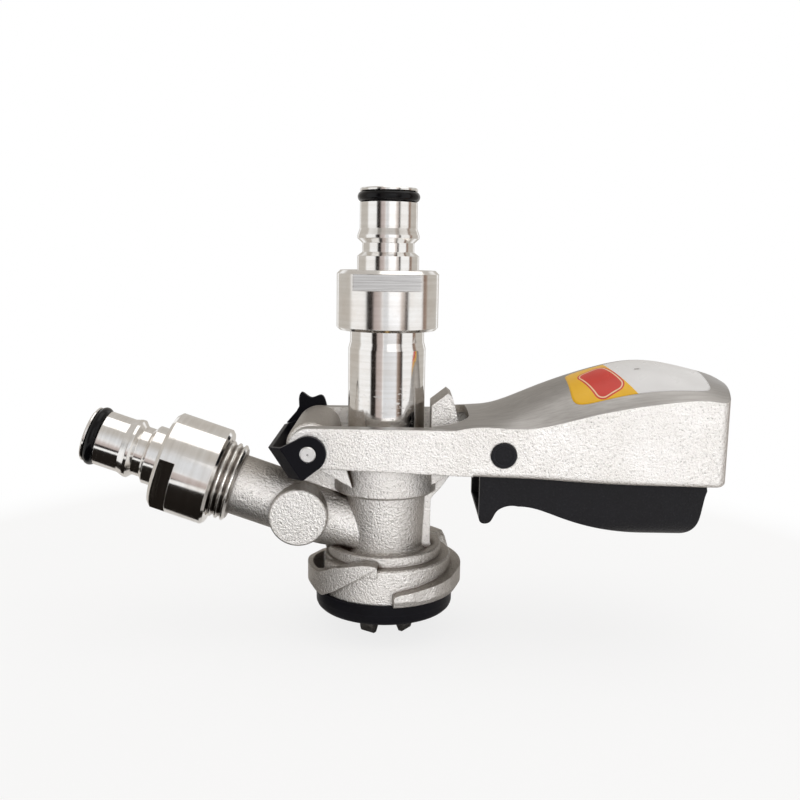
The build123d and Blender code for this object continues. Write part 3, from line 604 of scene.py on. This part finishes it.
# %% Label print
def label_print():
    """Plain colour fields over the label's own plan, in metres from the object's origin."""
    finish = Finish("label_print")
    x, y = finish.split(finish.coordinates)[:2]
    bow = finish.math("MULTIPLY", finish.math("MULTIPLY", y, y), 20.4)
    past_split = finish.math("SUBTRACT", finish.math("SUBTRACT", x, bow), 61.9 * mm)
    white_end = finish.step(past_split, -0.08 * mm, 0.08 * mm)
    badge_place = finish.placed((1, 1, 0), (0, 0, math.radians(-20)), (59.2 * mm, -9.6 * mm, 0))
    across, along = finish.split(badge_place)[:2]
    side_reach = finish.math("SUBTRACT", finish.math("ABSOLUTE", across), 1.8 * mm)
    end_reach = finish.math("SUBTRACT", finish.math("ABSOLUTE", along), 4.4 * mm)
    side = finish.math("MAXIMUM", side_reach, 0.0)
    end = finish.math("MAXIMUM", end_reach, 0.0)
    off = finish.math("SQRT", finish.math("ADD", finish.math("MULTIPLY", side, side),
                                          finish.math("MULTIPLY", end, end)))
    badge = finish.step(off, 2.55 * mm, 2.45 * mm)
    rim = finish.math("MULTIPLY", finish.step(off, 2.15 * mm, 2.05 * mm),
                      finish.step(off, 1.70 * mm, 1.80 * mm))
    cloud = finish.noise(150.0, detail=2.0)
    yellow = finish.ramp(cloud, [(0.3, (0.86, 0.47, 0.012)), (0.7, (0.92, 0.53, 0.016))])
    red = finish.ramp(cloud, [(0.3, (0.62, 0.035, 0.022)), (0.7, (0.70, 0.050, 0.030))])
    colour = finish.mix(badge, yellow, finish.mix(rim, red, (0.93, 0.66, 0.42)))
    colour = finish.mix(white_end, colour, finish.ramp(cloud, [(0.3, 0.80), (0.7, 0.84)]))
    finish.shade(Base_Color=colour, Roughness=finish.ramp(cloud, [(0.3, 0.34), (0.7, 0.26)]),
                 Specular_IOR_Level=0.4)
    return finish.material


# %% Label film
def label_film():
    """|x/a|^8 + |y/b|^8 = 1 in plan, filled by rings, dropped onto the lever's back."""
    low = (50.6 * mm, -17.1 * mm)
    high = (88.1 * mm, 0.7 * mm)
    half = ((high[0] - low[0]) / 2, (high[1] - low[1]) / 2)
    ring = np.linspace(0.0, 1.0, 30)[1:, None]
    angle = np.linspace(0, 2 * math.pi, 144, endpoint=False)[None, :]
    power = 8
    edge = (np.abs(np.cos(angle) / half[0]) ** power
            + np.abs(np.sin(angle) / half[1]) ** power) ** (-1 / power)
    x = (low[0] + high[0]) / 2 + ring * edge * np.cos(angle)
    y = (low[1] + high[1]) / 2 + ring * edge * np.sin(angle)
    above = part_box("lever")[1].z + 2 * mm
    flat = np.stack([x, y, np.full_like(x, above)], axis=-1)
    film = piece_from_grid("label_film", flat, close_columns=True)
    wrap = film.modifiers.new("onto_dome", "SHRINKWRAP")
    wrap.target = nodes["lever"]
    wrap.wrap_method = "PROJECT"
    wrap.use_project_z = True
    wrap.use_negative_direction = True
    wrap.use_positive_direction = False
    wrap.offset = 0.06 * mm
    graph = bpy.context.evaluated_depsgraph_get()
    dropped = bpy.data.meshes.new_from_object(film.evaluated_get(graph))
    film.modifiers.clear()
    film.data = dropped
    thick = film.modifiers.new("film", "SOLIDIFY")
    thick.thickness = 0.12 * mm
    thick.offset = 1.0
    return film


label = label_film()
label.data.materials.append(label_print())
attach(label, "lever_arm")
print("label spans", [round(v, 4) for v in label.dimensions])

# %% [markdown]
# ## Floor, world and lamps
# A pale floor under the prongs keeps the soft shadow, and fades into white before it could draw a
# horizon. Bright metal is only as good as what it mirrors, so reflections meet a small studio: a pale
# opening in front, white screens beside it, a beige canopy round the sides, back and top, and dark
# stands that draw upright lines on the turned metal. To the camera all of it is plain white.
# The panorama lists its tones by the angle from straight in front, in degrees, turning towards +X.

# %% What the metal mirrors
canopy_beige = (0.56, 0.53, 0.49)
stand_black = (0.02, 0.016, 0.014)
panorama = (
    (-180, canopy_beige), (-158, canopy_beige), (-154, white), (-146, white), (-142, canopy_beige),
    (-92, canopy_beige), (-86, white), (-49, white), (-45, stand_black), (-32, stand_black),
    (-29, (0.50, 0.43, 0.41)), (-13, (0.62, 0.55, 0.53)), (-11, white), (-8, (0.74, 0.75, 0.77)),
    (28, (0.86, 0.87, 0.90)), (32, (0.40, 0.31, 0.26)), (41, (0.10, 0.07, 0.055)), (46, stand_black),
    (49, white), (84, white), (88, (0.24, 0.16, 0.12)), (97, (0.34, 0.25, 0.20)), (101, canopy_beige),
    (142, canopy_beige), (146, white), (154, white), (158, canopy_beige), (180, canopy_beige),
)


def surroundings(kit, direction):
    """The studio's colour in a direction from the object: a panorama that fades into the canopy."""
    x, y, z = kit.split(direction)
    azimuth = kit.math("ARCTAN2", x, kit.math("MULTIPLY", y, -1.0))
    share = kit.math("ADD", kit.math("MULTIPLY", azimuth, 1 / (2 * math.pi)), 0.5)
    around = kit.ramp(share, [((angle + 180) / 360, colour) for angle, colour in panorama])
    overhead = kit.ramp(z, [(0.3, (0.50, 0.47, 0.435)), (0.95, (0.58, 0.555, 0.525))])
    return kit.mix(kit.step(z, 0.35, 0.80), around, overhead)


print("tones round the studio:", len(panorama))


# %% Floor
def flat_sheet(name, low, high, height):
    """A level rectangle from its low and high corners in plan."""
    corners = [(low[0], low[1], height), (high[0], low[1], height), (high[0], high[1], height),
               (low[0], high[1], height)]
    mesh = bpy.data.meshes.new(name)
    mesh.from_pydata(corners, [], [(0, 1, 2, 3)])
    sheet = bpy.data.objects.new(name, mesh)
    bpy.context.collection.objects.link(sheet)
    return sheet


def floor_paint():
    """Pale paint near the object; further out, white to the camera and the studio to the metal."""
    finish = Finish("floor_paint")
    speck = finish.noise(30.0, detail=2.0)
    finish.shade(Base_Color=finish.ramp(speck, [(0.3, 0.91), (0.7, 0.92)]), Roughness=0.8,
                 Specular_IOR_Level=0.1)
    level = finish.placed((1, 1, 0))
    reach = finish.add("ShaderNodeVectorMath", operation="LENGTH")
    finish.feed(reach.inputs[0], level)
    far = finish.step(reach.outputs["Value"], 0.08, 0.22)
    path = finish.add("ShaderNodeLightPath")
    camera_ray = path.outputs["Is Camera Ray"]
    mirrored = finish.math("MAXIMUM", path.outputs["Is Glossy Ray"], path.outputs["Is Transmission Ray"])
    white_share = finish.math("MULTIPLY", camera_ray, finish.math("MAXIMUM", far, 0.80))
    share = finish.math("MAXIMUM", white_share, finish.math("MULTIPLY", mirrored, far))
    colour = finish.mix(camera_ray, surroundings(finish, level), white)
    glow = finish.add("ShaderNodeEmission", Strength=1.0)
    finish.feed(glow.inputs["Color"], colour)
    blend = finish.add("ShaderNodeMixShader")
    finish.feed(blend.inputs[0], share)
    finish.feed(blend.inputs[1], finish.shader.outputs[0])
    finish.feed(blend.inputs[2], glow.outputs[0])
    finish.feed(finish.tree.nodes["Material Output"].inputs["Surface"], blend.outputs[0])
    finish.material.cycles.emission_sampling = "NONE"
    return finish.material


floor_height = cad_box[0].z
floor = flat_sheet("floor", (-3.0, -3.0), (3.0, 3.0), floor_height)
floor.data.materials.append(floor_paint())
print("floor at", round(floor_height, 4))

# %% [markdown]
# Under the gas arm lie a black card and a white one that only reflections see, the usual way to put a
# crisp dark band and a bright line along the lower side of bright round metal.

# %% Cards under the gas arm
def reflection_card(name, low, high, colour, glow):
    """A flat card on the floor that only bright metal sees."""
    card = flat_sheet(name, low, high, floor_height + 0.5 * mm)
    paint = Finish(name + "_paint")
    paint.shade(Base_Color=colour, Roughness=1.0, Specular_IOR_Level=0.0, Emission_Color=white,
                Emission_Strength=glow)
    card.data.materials.append(paint.material)
    card.visible_camera = False
    card.visible_diffuse = False
    card.visible_shadow = False
    return card


black_card = reflection_card("black_card", (-0.16, -0.098), (-0.035, 0.014), (0.02, 0.017, 0.015), 0.0)
white_card = reflection_card("white_card", (-0.19, -0.150), (-0.035, -0.099), (0.1, 0.1, 0.1), 0.95)
print("cards under the gas arm:", black_card.name, white_card.name)


# %% World
class World(Finish):
    """The world's node tree, built with the same helpers; directions stand for coordinates."""

    def __init__(self):
        world = bpy.data.worlds.new("studio")
        bpy.context.scene.world = world
        world.use_nodes = True
        self.tree = world.node_tree
        self.coordinates = self.add("ShaderNodeTexCoord").outputs["Generated"]


world = World()
studio_colour = surroundings(world, world.coordinates)
camera_ray = world.add("ShaderNodeLightPath").outputs["Is Camera Ray"]
background = world.tree.nodes["Background"]
world.feed(background.inputs["Color"], world.mix(camera_ray, studio_colour, white))
background.inputs["Strength"].default_value = 1.0
print("studio ready")

# %% [markdown]
# Two soft boxes light everything. A third lights only the body and the lever: a brighter box in front
# gives blasted metal its sparkle, and polished metal beside it would mirror that box as a white patch.

# %% Lamps
def soft_lamp(name, place, target, width, radiance):
    """A square soft box at a place, aimed at a target; its power follows from its brightness."""
    lamp = bpy.data.lights.new(name, "AREA")
    lamp.size = width
    lamp.energy = radiance * math.pi * width ** 2
    holder = bpy.data.objects.new(name, lamp)
    bpy.context.collection.objects.link(holder)
    holder.location = place
    holder.rotation_euler = (Vector(target) - Vector(place)).to_track_quat("-Z", "Y").to_euler()
    return holder


middle = (cad_box[0] + cad_box[1]) / 2
soft_lamp("front_box", (0.30, -0.75, 0.30), middle, 0.60, 0.45)
castings_box = soft_lamp("castings_box", (0.12, -0.75, 0.12), middle, 0.55, 2.5)
blasted_parts = bpy.data.collections.new("blasted_parts")
for casting_name in ("body", "lever"):
    blasted_parts.objects.link(nodes[casting_name])
castings_box.light_linking.receiver_collection = blasted_parts
soft_lamp("top_box", (0.2, 0.05, 0.8), middle, 0.7, 0.9)
print("lamps around", [round(c, 3) for c in middle])

# %% [markdown]
# ## Camera
# The view is nearly level, from a little above, and leans by less than a degree.

# %% Camera
camera_data = bpy.data.cameras.new("camera")
camera_data.sensor_width = 36.0
camera_data.lens = 40.2
camera_data.clip_start = 0.01
camera = bpy.data.objects.new("camera", camera_data)
bpy.context.collection.objects.link(camera)
bpy.context.scene.camera = camera
elevation = math.radians(9.07)
lean = math.radians(0.88)
distance = 257.4 * mm
aim = Vector((3.93 * mm, 0.0, 60.55 * mm))
back = Vector((0.0, -math.cos(elevation), math.sin(elevation)))
camera.location = aim + back * distance
turn = (-back).to_track_quat("-Z", "Y").to_matrix() @ Matrix.Rotation(lean, 3, "Z")
camera.rotation_euler = turn.to_euler()
bpy.context.scene.view_settings.view_transform = "Standard"
print("camera at", [round(c, 3) for c in camera.location])
